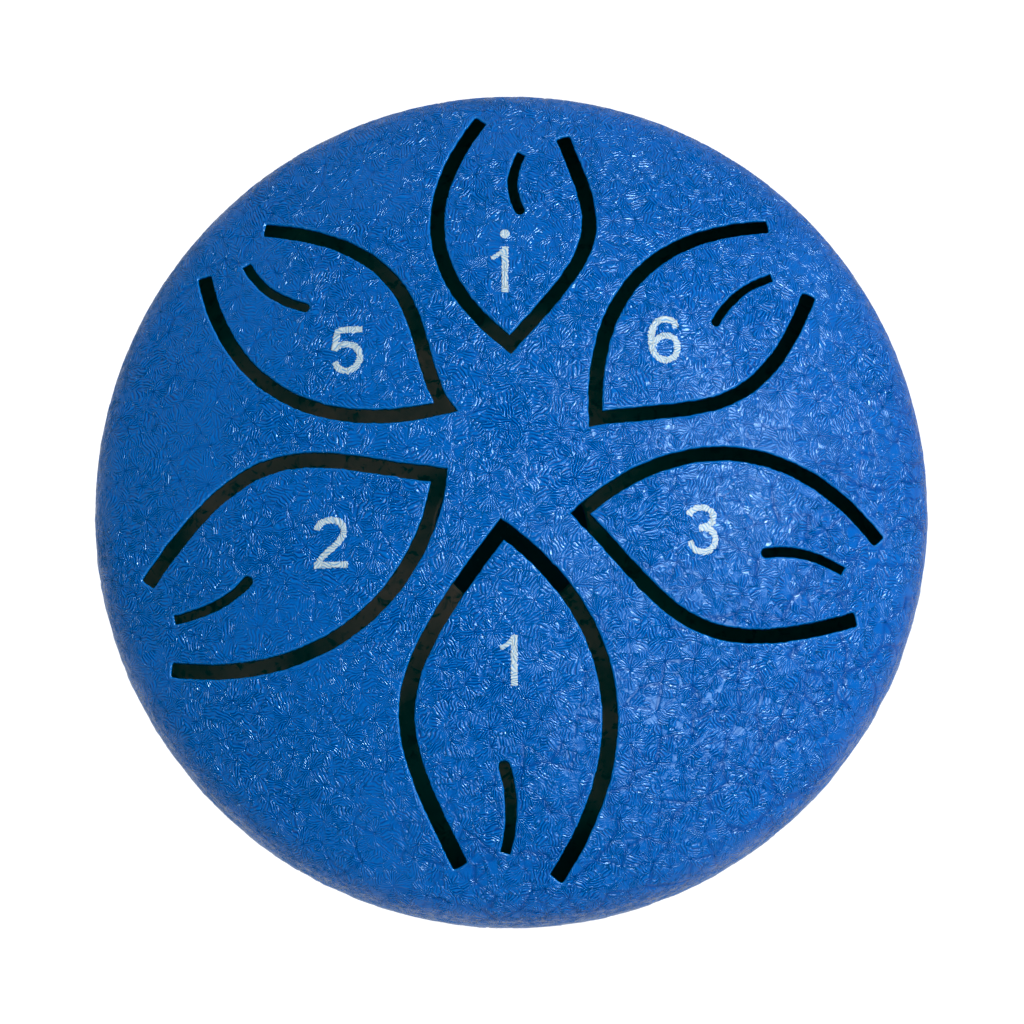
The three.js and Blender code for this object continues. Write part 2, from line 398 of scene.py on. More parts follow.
def split(p, f, loops):
    """Each triangle into four, with the loops' middles added to them."""
    e = np.sort(np.stack([f[:, [0, 1]], f[:, [1, 2]], f[:, [2, 0]]], 1).reshape(-1, 2), 1)
    key = e[:, 0] * len(p) + e[:, 1]
    uniq, inv = np.unique(key, return_inverse=True)
    a, b = uniq // len(p), uniq % len(p)
    mid = (p[a] + p[b]) / 2
    m = inv.reshape(-1, 3) + len(p)
    g = np.concatenate([np.stack([f[:, 0], m[:, 0], m[:, 2]], 1), np.stack([m[:, 0], f[:, 1], m[:, 1]], 1),
                        np.stack([m[:, 2], m[:, 1], f[:, 2]], 1), m])
    out = []
    for loop in loops:
        nxt = np.roll(loop, -1)
        k = np.minimum(loop, nxt) * len(p) + np.maximum(loop, nxt)
        at = np.searchsorted(uniq, k)
        both = np.empty(2 * len(loop), np.int64)
        both[0::2], both[1::2] = loop, at + len(p)
        out.append(both)
    return np.vstack([p, mid]), g, out


# ---------------------------------------------------------------- the wrinkle coat's relief
def lattice(q, cell, seed):
    """Each point's three nearest of one jittered node per square cell, nearest first: places, keys, gaps."""
    spread = 0.42
    base = np.floor(q / cell).astype(np.int64)
    pos, key = [], []
    for dx in (-2, -1, 0, 1, 2):
        for dy in (-2, -1, 0, 1, 2):
            if abs(dx) + abs(dy) > 3:
                continue
            c = base + (dx, dy)
            h1, h2, h3 = hashed(c, seed), hashed(c, seed + 1), hashed(c, seed + 2)
            pos.append((c + 0.5 + np.stack([h1 - 0.5, h2 - 0.5], -1) * 2 * spread) * cell)
            key.append(h3)
    pos, key = np.stack(pos), np.stack(key)
    gap = np.hypot(pos[..., 0] - q[:, 0], pos[..., 1] - q[:, 1])
    order = np.argpartition(gap, 3, axis=0)[:3]
    g = np.take_along_axis(gap, order, 0)
    rank = np.argsort(g, axis=0)
    order = np.take_along_axis(order, rank, 0)
    g = np.take_along_axis(g, rank, 0)
    k = np.take_along_axis(key, order, 0)
    p = np.take_along_axis(pos, order[..., None], 0)
    return p, k, g


def hashed(c, seed):
    """A fixed pseudo-random number from 0 to 1 for each pair of whole numbers."""
    x = (c[:, 0] * 374761393 + c[:, 1] * 668265263 + seed * 362437) & 0xFFFFFFFF
    x = ((x ^ (x >> 13)) * 1274126177) & 0xFFFFFFFF
    x = ((x ^ (x >> 16)) * 2246822519) & 0xFFFFFFFF
    return ((x ^ (x >> 15)) & 0xFFFFFF) / float(0xFFFFFF)


def noise(q, cell, seed):
    """Smooth noise from -1 to 1 on a square lattice."""
    t = q / cell
    i = np.floor(t).astype(np.int64)
    f = t - i
    f = f * f * f * (f * (f * 6 - 15) + 10)
    v = [[hashed(i + (a, b), seed) for b in (0, 1)] for a in (0, 1)]
    x0 = v[0][0] * (1 - f[:, 0]) + v[1][0] * f[:, 0]
    x1 = v[0][1] * (1 - f[:, 0]) + v[1][1] * f[:, 0]
    return (x0 * (1 - f[:, 1]) + x1 * f[:, 1]) * 2 - 1


def to_segment(q, a, b):
    """Each point's distance to its own segment from a to b."""
    d = b - a
    t = np.clip(((q - a) * d).sum(1) / np.maximum((d * d).sum(1), 1e-9), 0, 1)
    return np.hypot(*(q - a - d * t[:, None]).T)


def fold(phase):
    """A fold's section from 0 to 1: a broad round crest and a narrow valley."""
    return (np.sqrt(np.cos(phase / 2) ** 2 + FOLD_ROUND) - FOLD_FLOOR) / FOLD_RISE


def fan_folds(dx, dy, wobble):
    """Folds that fan out from a node. Their number grows by half each time they have spread too far apart."""
    turn = np.arctan2(dy, dx)
    spread = np.maximum(np.hypot(dx, dy), FAN_START) / FAN_START
    level = np.log(spread) / math.log(FAN_GROWTH) + FAN_RAGGED * wobble
    low = np.floor(level)
    blend = np.clip((level - low - 0.6) / 0.4, 0, 1)
    few, more = (fold(np.floor(FAN_COUNT * FAN_GROWTH ** k + 0.5) * turn + wobble) for k in (low, low + 1))
    return few * (1 - blend) + more * blend


def relief(q, seed, node=2.5):
    """Height of the coat in millimetres without its folds, and what its folds and its material read."""
    warp = np.stack([noise(q, 1.3, seed + 20) + 0.5 * noise(q, 0.5, seed + 22),
                     noise(q, 1.3, seed + 21) + 0.5 * noise(q, 0.5, seed + 23)], -1)
    w = q + 0.17 * warp
    p, k, g = lattice(w, node, seed)
    # towards the front right the coat lies flatter between deeper grooves
    flat = np.clip(((q[:, 0] - q[:, 1]) * 0.707 - 11) / 12, 0, 1) if seed == TOP_SEED else 0.0
    # grooves run straight from node to node
    groove = np.zeros(len(q))
    for a, b in ((0, 1), (0, 2), (1, 2)):
        d = to_segment(w, p[a], p[b])
        span = np.hypot(*(p[a] - p[b]).T)
        mix = (k[a] + k[b]) % 1.0
        depth = (0.2 + 0.8 * mix) * np.clip(1.7 - span / (node * 1.2), 0, 1)
        width = (0.09 + 0.07 * ((k[a] * 7 + k[b] * 7) % 1.0)) * (1 + 0.7 * flat)
        groove = np.maximum(groove, depth * np.exp(-(d / width) ** 2))
    dx, dy = (w - p[0]).T
    r = np.hypot(dx, dy)
    wobble = 3.4 * noise(q, 0.75, seed + 31) + k[0] * 9
    # between the fans, small patches fold their own way
    p2, k2, g2 = lattice(w + 0.1 * warp, 1.25, seed + 7)
    rel = w - p2[0]
    along = rel[:, 0] * -np.sin(k2[0] * 6.283) + rel[:, 1] * np.cos(k2[0] * 6.283)
    patch = along * 2 * math.pi / 0.31 + 2.4 * noise(q, 0.6, seed + 33)
    share = np.clip(0.5 + 6 * noise(q, 1.5, seed + 34), 0, 1) * np.clip((r - 0.5) / 0.2, 0, 1)
    tri = (k[0] * 3 + k[1] * 5 + k[2] * 7) % 1.0
    calm = 1 - (0.45 + 0.4 * flat) * np.clip((0.2 + 0.08 * flat - tri) * 5, 0, 1)
    calm = calm * (0.85 + 0.3 * noise(q, 6.0, seed + 50))
    border = np.clip((g[1] - g[0]) / 0.2, 0, 1) * (1 - share) + np.clip((g2[1] - g2[0]) / 0.14, 0, 1) * share
    strength = np.clip(0.85 + 0.6 * noise(q, 0.4, seed + 40), 0, 1) * calm * (0.35 + 0.65 * border)
    hollow = 0.5 * np.exp(-(r / 0.2) ** 2)
    height = 0.012 * noise(q, 1.8, seed + 60) + 0.02 * (tri - 0.5) * (1 - groove) - 0.03 * hollow
    height = height - (0.06 + 0.03 * flat) * groove
    return height, {
        "fan": np.stack([dx, dy, wobble], -1),
        "weave": np.stack([patch, share, strength * (1 - 0.7 * groove)], -1),
        # the grooves and the hollows at the nodes, which the coat's material paints darker: painted shade,
        # stronger towards the front right
        "groove": np.clip(groove * (0.6 + 1.0 * flat) + hollow, 0, 1),
    }


def folded(fan, weave):
    """The folds' share of the height, from 0 to 1."""
    patch, share, strength = weave.T
    return strength * (fan_folds(*fan.T) * (1 - share) + fold(patch) * share)


def rounded(gap, radius):
    """How far a rounded edge falls below the surface at a distance from its outline."""
    x = np.clip(radius - gap, 0, radius)
    return radius - np.sqrt(np.maximum(radius ** 2 - x ** 2, 0))


# ---------------------------------------------------------------- mesh making
def make_mesh(name, co, tris, uv, attrs, material_index=None):
    """A smooth object of points in millimetres and triangles, with what the materials read at each point."""
    me = bpy.data.meshes.new(name)
    me.vertices.add(len(co))
    me.vertices.foreach_set("co", (co * MM).astype(np.float32).ravel())
    me.loops.add(tris.size)
    me.loops.foreach_set("vertex_index", tris.astype(np.int32).ravel())
    me.polygons.add(len(tris))
    me.polygons.foreach_set("loop_start", np.arange(0, tris.size, 3, dtype=np.int32))
    me.polygons.foreach_set("loop_total", np.full(len(tris), 3, np.int32))
    if material_index is not None:
        me.polygons.foreach_set("material_index", material_index.astype(np.int32))
    me.polygons.foreach_set("use_smooth", np.ones(len(tris), bool))
    me.update(calc_edges=True)
    layer = me.uv_layers.new(name="flat_mm")
    layer.data.foreach_set("uv", uv[tris.ravel()].astype(np.float32).ravel())
    for key, data in attrs.items():
        kind = "FLOAT_VECTOR" if data.ndim == 2 else "FLOAT"
        at = me.attributes.new(key, kind, "POINT")
        at.data.foreach_set("vector" if data.ndim == 2 else "value", data.astype(np.float32).ravel())
    me.validate()
    ob = bpy.data.objects.new(name, me)
    bpy.context.scene.collection.objects.link(ob)
    return ob


def strip(upper, lower, flip):
    """Triangles between a loop and one with half as many points."""
    n = len(lower)
    k = np.arange(n)
    a, m, b = upper[2 * k], upper[2 * k + 1], upper[(2 * k + 2) % (2 * n)]
    c, d = lower, np.roll(lower, -1)
    t = np.concatenate([np.stack([a, m, c], 1), np.stack([m, d, c], 1), np.stack([m, b, d], 1)])
    return t[:, ::-1] if flip else t


def has_edge(tris, a, b):
    """Whether a triangle runs from point a to point b."""
    return bool(((tris == a) & (np.roll(tris, -1, axis=1) == b)).any())


def normals_of(co, tris):
    """Each point's normal, weighted by the triangles' areas."""
    a, b, c = co[tris[:, 0]], co[tris[:, 1]], co[tris[:, 2]]
    fn = np.cross(b - a, c - a)
    n = np.stack([sum(np.bincount(tris[:, k], fn[:, j], len(co)) for k in range(3)) for j in range(3)], -1)
    return n / np.maximum(np.linalg.norm(n, axis=1), 1e-12)[:, None]


# ---------------------------------------------------------------- the printed numbers
def smooth_line(points):
    """A Catmull-Rom curve through the points."""
    count = 14
    p = np.array(points, float)
    p = np.vstack([2 * p[0] - p[1], p, 2 * p[-1] - p[-2]])
    t = np.linspace(0, 1, count, endpoint=False)[:, None]
    out = []
    for a, b, c, d in zip(p, p[1:], p[2:], p[3:]):
        square, cube = 2 * a - 5 * b + 4 * c - d, 3 * b - a - 3 * c + d
        out.append(0.5 * (2 * b + (c - a) * t + square * t ** 2 + cube * t ** 3))
    return np.vstack(out + [p[-2:-1]])


def stroke(points, width, seed, curved=True):
    """The outline of one inked stroke. Its edges waver a little, as ink does over the folds."""
    line = smooth_line(points) if curved else bezier((points[0], points[0], points[1], points[1]), 20)
    run = np.r_[0, np.cumsum(np.linalg.norm(np.diff(line, axis=0), axis=1))]
    at = np.linspace(0, run[-1], max(6, int(run[-1] / 0.08)))
    line = np.stack([np.interp(at, run, line[:, k]) for k in (0, 1)], -1)
    rng = np.random.default_rng(seed)
    sides = [width * 0.47 + 0.04 * rng.standard_normal(len(at)) for _ in (0, 1)]
    return np.vstack([sideways(line, -sides[0]), sideways(line, sides[1])[::-1]])


def number(strokes, centre, seed):
    """A number's inked outlines, in plan."""
    return [stroke([(x + centre[0], y + centre[1]) for x, y in pts], w, seed + i, len(pts) > 2)
            for i, (w, pts) in enumerate(strokes)]


def dot(centre, radius):
    """A round dot's outline, in plan."""
    a = np.arange(36) * 2 * math.pi / 36
    return [np.stack([np.cos(a), np.sin(a)], -1) * radius + np.array(centre)]


# Each stroke is its width and the points it passes through, from the number's own centre.
ONE = [(0.66, [(0.0, -2.31), (0.0, 2.2)]),
       (0.42, [(0.14, 2.18), (-0.28, 1.72), (-0.74, 1.3), (-1.27, 1.04)])]
TWO = [(0.64, [(-1.33, 1.18), (-1.22, 1.52), (-0.78, 1.9), (0.0, 2.05), (0.76, 1.84), (1.13, 1.24),
               (1.03, 0.62), (0.52, -0.07), (-0.18, -0.68), (-0.84, -1.3), (-1.2, -1.85)]),
       (0.6, [(-1.62, -2.02), (1.5, -2.02)])]
THREE = [(0.62, [(-1.25, 1.28), (-1.05, 1.62), (-0.5, 1.96), (0.14, 2.02), (0.76, 1.76), (1.0, 1.2),
                 (0.83, 0.66), (0.4, 0.34), (-0.15, 0.16)]),
         (0.6, [(-0.3, 0.14), (0.25, 0.16), (0.85, -0.08), (1.22, -0.72), (1.06, -1.42), (0.53, -1.9),
                (-0.16, -2.0), (-0.84, -1.68), (-1.16, -1.05)])]
FIVE = [(0.62, [(1.35, 1.92), (-0.85, 1.92)]),
        (0.62, [(-0.86, 2.0), (-1.28, -0.05)]),
        (0.64, [(-1.22, 0.1), (-0.75, 0.42), (-0.1, 0.55), (0.72, 0.27), (1.17, -0.58), (0.86, -1.5),
                (0.05, -1.98), (-0.78, -1.74), (-1.16, -1.1)])]
SIX = [(0.64, [(1.12, 1.2), (0.86, 1.78), (0.14, 2.0), (-0.62, 1.74), (-1.1, 0.97), (-1.2, 0.0),
               (-1.1, -0.97), (-0.62, -1.7), (0.1, -1.94), (0.2, -1.94)]),
       (0.62, [(0.0, -1.94), (0.1, -1.94), (0.78, -1.7), (1.16, -1.02), (1.12, -0.2), (0.68, 0.3),
               (0.0, 0.4), (-0.62, 0.12), (-1.02, -0.5)])]
NUMBERS = {
    "note_mark_1": number(ONE, (0.27, -15.67), 1),
    "note_mark_2": number(TWO, (-16.41, -4.93), 10),
    "note_mark_3": number(THREE, (17.46, -3.71), 20),
    "note_mark_5": number(FIVE, (-15.04, 12.98), 30),
    "note_mark_6": number(SIX, (14.06, 13.91), 40),
    "note_mark_high_1": number(ONE, (-0.58, 20.55), 50) + dot((-0.59, 24.02), 0.45),
}


# ---------------------------------------------------------------- materials
class Nodes:
    """A short way to write node trees."""

    def __init__(self, name):
        self.mat = bpy.data.materials.new(name)
        self.mat.use_nodes = True
        self.tree = self.mat.node_tree
        self.tree.nodes.clear()
        self.out = self.tree.nodes.new("ShaderNodeOutputMaterial")
        self.bsdf = self.tree.nodes.new("ShaderNodeBsdfPrincipled")
        self.tree.links.new(self.bsdf.outputs[0], self.out.inputs[0])

    def feed(self, socket, value):
        """Links or sets a socket."""
        if isinstance(value, bpy.types.NodeSocket):
            self.tree.links.new(value, socket)
        else:
            socket.default_value = value

    def node(self, kind, inputs=(), output=0, **settings):
        """One output of a new node."""
        n = self.tree.nodes.new("ShaderNode" + kind)
        for k, v in settings.items():
            setattr(n, k, v)
        for k, v in dict(inputs).items():
            self.feed(n.inputs[k], v)
        return n.outputs[output]

    def math(self, op, a, b=None, c=None, clamp=False):
        return self.node("Math", {i: v for i, v in enumerate((a, b, c)) if v is not None}, operation=op,
                         use_clamp=clamp)

    def noise(self, vector, scale, detail=2.0, rough=0.5, distortion=0.0):
        return self.node("TexNoise", {"Vector": vector, "Scale": scale, "Detail": detail, "Roughness": rough,
                                      "Distortion": distortion})

    def ramp(self, value, *stops):
        """A colour ramp. Each stop is its position and a colour or a grey."""
        n = self.tree.nodes.new("ShaderNodeValToRGB")
        e = n.color_ramp.elements
        while len(e) < len(stops):
            e.new(0.5)
        for el, (at, colour) in zip(e, stops):
            el.position = at
            el.color = (*colour, 1) if isinstance(colour, tuple) else (colour, colour, colour, 1)
        self.feed(n.inputs[0], value)
        return n.outputs[0]

    def mix(self, factor, a, b):
        """A colour between a and b."""
        n = self.tree.nodes.new("ShaderNodeMix")
        n.data_type = "RGBA"
        self.feed(n.inputs[0], factor)
        for k, v in ((6, a), (7, b)):
            self.feed(n.inputs[k], (*v, 1) if isinstance(v, tuple) else v)
        return n.outputs[2]

    def parts(self, vector):
        return self.node("SeparateXYZ", {0: vector}).node.outputs

    def blend(self, factor, a, b):
        """A number between a and b."""
        return self.math("MULTIPLY_ADD", factor, self.math("SUBTRACT", b, a), a)

    def attribute(self, name, output=2):
        return self.node("Attribute", output=output, attribute_name=name)

    def bump(self, height, distance):
        return self.node("Bump", {"Height": height, "Distance": distance, "Strength": 1.0})

    def finish(self, **sockets):
        for k, v in sockets.items():
            self.feed(self.bsdf.inputs[k.replace("_", " ")], v)
        return self.mat


def folds(n):
    """The mesh's folds again at a finer grain: the flat position, and the folds' section and strength."""
    fan, weave = n.parts(n.attribute("fan", 1)), n.parts(n.attribute("weave", 1))
    turn = n.math("ARCTAN2", fan[1], fan[0])
    square = n.math("ADD", n.math("MULTIPLY", fan[0], fan[0]), n.math("MULTIPLY", fan[1], fan[1]))
    reach = n.math("SQRT", square)
    spread = n.math("DIVIDE", n.math("MAXIMUM", reach, FAN_START), FAN_START)
    level = n.math("MULTIPLY_ADD", fan[2], FAN_RAGGED, n.math("LOGARITHM", spread, FAN_GROWTH))
    low = n.math("FLOOR", level)
    blend = n.math("MULTIPLY", n.math("SUBTRACT", n.math("SUBTRACT", level, low), 0.6), 2.5, clamp=True)

    def section(phase):
        half = n.math("COSINE", n.math("MULTIPLY", phase, 0.5))
        root = n.math("SQRT", n.math("MULTIPLY_ADD", half, half, FOLD_ROUND))
        return n.math("MULTIPLY_ADD", root, 1 / FOLD_RISE, -FOLD_FLOOR / FOLD_RISE)

    def fan_at(step):
        count = n.math("MULTIPLY_ADD", n.math("POWER", FAN_GROWTH, n.math("ADD", low, step)), FAN_COUNT, 0.5)
        return section(n.math("MULTIPLY_ADD", n.math("FLOOR", count), turn, fan[2]))
    fans = n.blend(blend, fan_at(0.0), fan_at(1.0))
    return n.node("UVMap", uv_map="flat_mm"), n.blend(weave[1], fans, section(weave[0])), weave[2]


def coat_material():
    n = Nodes("blue_wrinkle_coat")
    uv, section, strength = folds(n)
    groove = n.attribute("groove")
    # painted shade and light on the folds: the colour is darker in the fold valleys and paler on the crests
    depth = n.ramp(n.blend(n.math("MULTIPLY", strength, 1.5, clamp=True), 0.65, section),
                   (0.1, (0.0, 0.012, 0.19)), (0.5, (0.0, 0.072, 0.39)), (0.95, (0.0, 0.112, 0.5)))
    patch = n.noise(uv, 0.07, 3.0, 0.55)
    colour = n.mix(n.ramp(patch, (0.35, 0.0), (0.65, 0.3)), depth, (0.0, 0.09, 0.41))
    # painted shade: darker in the grooves and the hollows at the nodes
    colour = n.mix(n.math("MULTIPLY", groove, 0.75), colour, (0.0, 0.028, 0.24))
    # paler along the slits' edges, partly a thinner coat and partly a painted highlight; paler at the seam
    # and on the weld bead as a painted reflection
    edge = n.attribute("edge")
    colour = n.mix(n.math("MULTIPLY", edge, 0.55), colour, (0.03, 0.2, 0.56))
    specks = n.node("TexVoronoi", {"Vector": uv, "Scale": 0.55, "Randomness": 1.0}, voronoi_dimensions="2D")
    dust = n.ramp(n.noise(uv, 5.5, 2.0, 0.6), (0.76, 0.0), (0.8, 1.0))
    dusty = n.math("MULTIPLY", dust, n.ramp(specks, (0.03, 0.35), (0.09, 0.0)))
    colour = n.mix(dusty, colour, (0.45, 0.4, 0.42))
    rough = n.math("ADD", n.math("MULTIPLY", n.noise(uv, 3.0, 3.0, 0.6), 0.07), 0.05)
    grain = n.noise(uv, 16.0, 2.0, 0.6)
    height = n.math("MULTIPLY_ADD", section, strength, n.math("MULTIPLY", grain, 0.12))
    normal = n.bump(height, FOLD_BUMP * MM)
    return n.finish(Base_Color=colour, Roughness=rough, Normal=normal, IOR=1.5, Specular_IOR_Level=1.0,
                    Specular_Tint=(0.45, 0.75, 1.0, 1))


def print_material():
    n = Nodes("white_print")
    uv, section, strength = folds(n)
    crest = n.blend(n.math("MULTIPLY", strength, 1.5, clamp=True), 0.6, section)
    bare = n.ramp(crest, (0.15, 1.0), (0.7, 0.0))
    tone = n.ramp(n.noise(uv, 4.0, 3.0, 0.6), (0.3, (0.42, 0.53, 0.58)), (0.7, (0.55, 0.63, 0.66)))
    colour = n.mix(n.math("MULTIPLY", bare, 0.9), tone, (0.06, 0.28, 0.6))
    rough = n.math("ADD", n.math("MULTIPLY", n.noise(uv, 5.0, 2.0), 0.2), 0.35)
    normal = n.bump(n.math("MULTIPLY", section, strength), 0.05 * MM)
    return n.finish(Base_Color=colour, Roughness=rough, Normal=normal)


def steel_material():
    n = Nodes("bare_dark_steel")
    at = n.node("TexCoord", output=3)
    cloud = n.noise(at, 140.0, 5.0, 0.62)
    spots = n.ramp(n.noise(at, 900.0, 3.0, 0.6, 0.6), (0.30, 0.0), (0.46, 1.0))
    brown = n.ramp(cloud, (0.3, (0.15, 0.086, 0.074)), (0.55, (0.235, 0.138, 0.108)),
                   (0.75, (0.31, 0.178, 0.134)))
    colour = n.mix(spots, (0.055, 0.048, 0.043), brown)
    rough = n.math("ADD", n.math("MULTIPLY", cloud, 0.25), 0.45)
    return n.finish(Base_Color=colour, Roughness=rough, Metallic=0.3,
                    Normal=n.bump(n.noise(at, 1500.0, 4.0, 0.6), 0.012 * MM))


def silicone_material():
    n = Nodes("black_silicone")
    at = n.node("TexCoord", output=3)
    cloud = n.noise(at, 300.0, 4.0, 0.6)
    colour = n.ramp(cloud, (0.3, (0.016, 0.016, 0.018)), (0.7, (0.03, 0.03, 0.033)))
    dust = n.ramp(n.noise(at, 2600.0, 2.0, 0.7), (0.66, 0.0), (0.74, 1.0))
    colour = n.mix(n.math("MULTIPLY", dust, 0.4), colour, (0.18, 0.18, 0.18))
    rough = n.math("ADD", n.math("MULTIPLY", cloud, 0.25), 0.42)
    return n.finish(Base_Color=colour, Roughness=rough, Normal=n.bump(n.noise(at, 2200.0, 3.0), 0.01 * MM))


def tape_material():
    n = Nodes("adhesive_foam")
    at = n.node("TexCoord", output=3)
    cells = n.node("TexVoronoi", {"Vector": at, "Scale": 5200.0})
    colour = n.ramp(cells, (0.05, (0.5, 0.47, 0.4)), (0.6, (0.72, 0.69, 0.6)))
    return n.finish(Base_Color=colour, Roughness=n.math("ADD", n.math("MULTIPLY", cells, 0.2), 0.65),
                    Normal=n.bump(cells, 0.03 * MM))


def floor_material():
    n = Nodes("pale_floor")
    at = n.node("TexCoord", output=3)
    colour = n.ramp(n.noise(at, 3.0, 3.0), (0.3, (0.86, 0.865, 0.87)), (0.7, (0.89, 0.89, 0.89)))
    rough = n.math("ADD", n.math("MULTIPLY", n.noise(at, 40.0), 0.1), 0.6)
    return n.finish(Base_Color=colour, Roughness=rough)


COAT, PRINT, STEEL = coat_material(), print_material(), steel_material()
SILICONE, TAPE, FLOOR = silicone_material(), tape_material(), floor_material()


# ---------------------------------------------------------------- the two shells
def near_edges(q, loops):
    """Each point's distance to the nearest outline, or a far one where no outline is within reach."""
    far, reach = 9.0, 0.9
    gap = np.full(len(q), far)
    edge = np.vstack([resample(loop, 0.05) for loop in loops])
    cell = 0.5
    lo = np.minimum(edge.min(0), q.min(0)) - 2 * reach
    size = ((np.maximum(edge.max(0), q.max(0)) + 2 * reach - lo) / cell).astype(int) + 1
    grid = np.zeros(size, bool)
    i = ((edge - lo) / cell).astype(int)
    span = int(math.ceil(reach / cell)) + 1
    for dx in range(-span, span + 1):
        for dy in range(-span, span + 1):
            grid[i[:, 0] + dx, i[:, 1] + dy] = True
    j = ((q - lo) / cell).astype(int)
    near = np.flatnonzero(grid[j[:, 0], j[:, 1]])
    gap[near] = gaps_to(tree_of(edge), q[near])
    return gap


def coated(profile, q, loops, seed):
    """The lift of each point of a coated surface, and what its material reads."""
    gap = near_edges(q, loops)
    height, attrs = relief(q, seed)
    s = np.hypot(q[:, 0], q[:, 1])
    fade = 0.25 + 0.75 * np.clip(gap / 0.35, 0, 1) ** 0.7 * np.clip((profile.end - s) / RIM_FADE, 0, 1)
    attrs["weave"][:, 2] *= fade
    attrs["groove"] *= fade
    # paler towards the seam: a painted reflection along the rim
    seam = SEAM_PAINTED_REFLECTION * np.clip((s - profile.end + 4) / 4, 0, 1)
    # paler along the slits' edges: partly a thinner coat, partly a painted highlight on the rounded edge
    attrs["edge"] = np.maximum(np.clip(1 - gap / 0.2, 0, 1) ** 0.8, seam)
    swell = np.clip((s - profile.s2 + 1.5) / (profile.end - profile.s2 + 1.5), 0, 1)
    lift = height * fade + FOLD_MESH * folded(attrs["fan"], attrs["weave"])
    return lift - rounded(gap, EDGE_R) + RIM_SWELL * swell * swell * (3 - 2 * swell), attrs


def wall_attrs(count, edge=0.0):
    """What the materials read at points without folds."""
    return {"fan": np.tile([1.0, 0.0, 0.0], (count, 1)), "weave": np.zeros((count, 3)),
            "groove": np.zeros(count), "edge": np.full(count, edge)}


def shell(name, node, top, outlines, marks, seed, step):
    """One shell: a fine coated outside, coated slit walls and a coarse bare inside, and its printed marks."""
    outer, inner = Profile(top), Profile(top, SHEET)
    outer_rim = ring(outer.end, step * 1.1)
    inner_rim = outer_rim * (inner.end / outer.end)
    glyphs = {key: [outer.unroll(loop) for loop in group] for key, group in marks.items()}
    all_glyphs = [loop for group in glyphs.values() for loop in group]
    fill = hex_grid(outer.end - 0.7 * step, step, seed)
    outer_holes = [outer.unroll(loop) for loop in outlines]
    q, f, loops = split(*triangulate(outer_rim, outer_holes, all_glyphs, fill, EDGE_ROWS))
    lift, attrs = coated(outer, q, [q[loop] for loop in loops[1:]], seed)
    co, _ = outer.place(q, lift)
    inner_fill = hex_grid(inner.end - 0.7 * COARSE, COARSE, seed + 5)
    inner_holes = [inner.unroll(loop) for loop in outlines]
    inner_q, inner_f, inner_loops = triangulate(inner_rim, inner_holes, [], inner_fill, INNER_ROWS)
    inner_co, _ = inner.place(inner_q)
    if top:
        inner_f = inner_f[:, ::-1]
    else:
        f = f[:, ::-1]
    base = len(co)
    walls = [strip(loop, inner_loop + base, has_edge(f, loop[0], loop[1]))
             for loop, inner_loop in zip(loops, inner_loops)]
    tris = np.vstack([f] + walls + [inner_f + base])
    bare = np.arange(len(tris)) >= len(tris) - len(inner_f)
    inner_attrs = wall_attrs(len(inner_co))
    both = {key: np.concatenate([attrs[key], inner_attrs[key]]) for key in attrs}
    ob = make_mesh(name, np.vstack([co, inner_co]), tris, np.vstack([q, inner_q]), both, bare)
    ob.data.materials.append(COAT)
    ob.data.materials.append(STEEL)
    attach(ob, "root")
    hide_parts(node)
    if glyphs:
        normal, centre = normals_of(co, f), q[f].mean(1)
    for key, group in glyphs.items():
        inked = np.any([inside(loop, centre) for loop in group], axis=0)
        print_film(key, co, normal, q, f[inked], attrs)


def print_film(name, co, normal, q, f, attrs):
    """A thin closed layer of ink on the coat's own triangles."""
    used = np.unique(f)
    back = np.zeros(len(co), np.int64)
    back[used] = np.arange(len(used))
    g = back[f]
    n = len(used)
    top = co[used] + normal[used] * INK_OVER
    low = co[used] - normal[used] * INK_UNDER
    e = np.concatenate([g[:, [0, 1]], g[:, [1, 2]], g[:, [2, 0]]])
    both = {(a, b) for a, b in e.tolist()}
    rim = np.array([(a, b) for a, b in e.tolist() if (b, a) not in both])
    side = np.concatenate([np.stack([rim[:, 1], rim[:, 0], rim[:, 0] + n], 1),
                           np.stack([rim[:, 1], rim[:, 0] + n, rim[:, 1] + n], 1)])
    tris = np.vstack([g, g[:, ::-1] + n, side])
    data = {k: np.concatenate([v[used], v[used]]) for k, v in attrs.items()}
    ob = make_mesh(name, np.vstack([top, low]), tris, np.vstack([q[used], q[used]]), data)
    ob.data.materials.append(PRINT)
    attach(ob, "root")


slits = [ragged(outline(t, OUTLINE_STEP), SLIT_SEED)
         for t in TONGUES for outline in (tongue_outline, vein_outline)]
shell("top_shell_coated", "top_shell", True, slits, NUMBERS, TOP_SEED, FINE)
hole_turn = np.arange(220) * 2 * math.pi / 220
sound_hole = np.stack([np.cos(hole_turn), np.sin(hole_turn)], -1) * HOLE_R
shell("bottom_shell_coated", "bottom_shell", False, [sound_hole], {}, BOTTOM_SEED, BOTTOM_FINE)


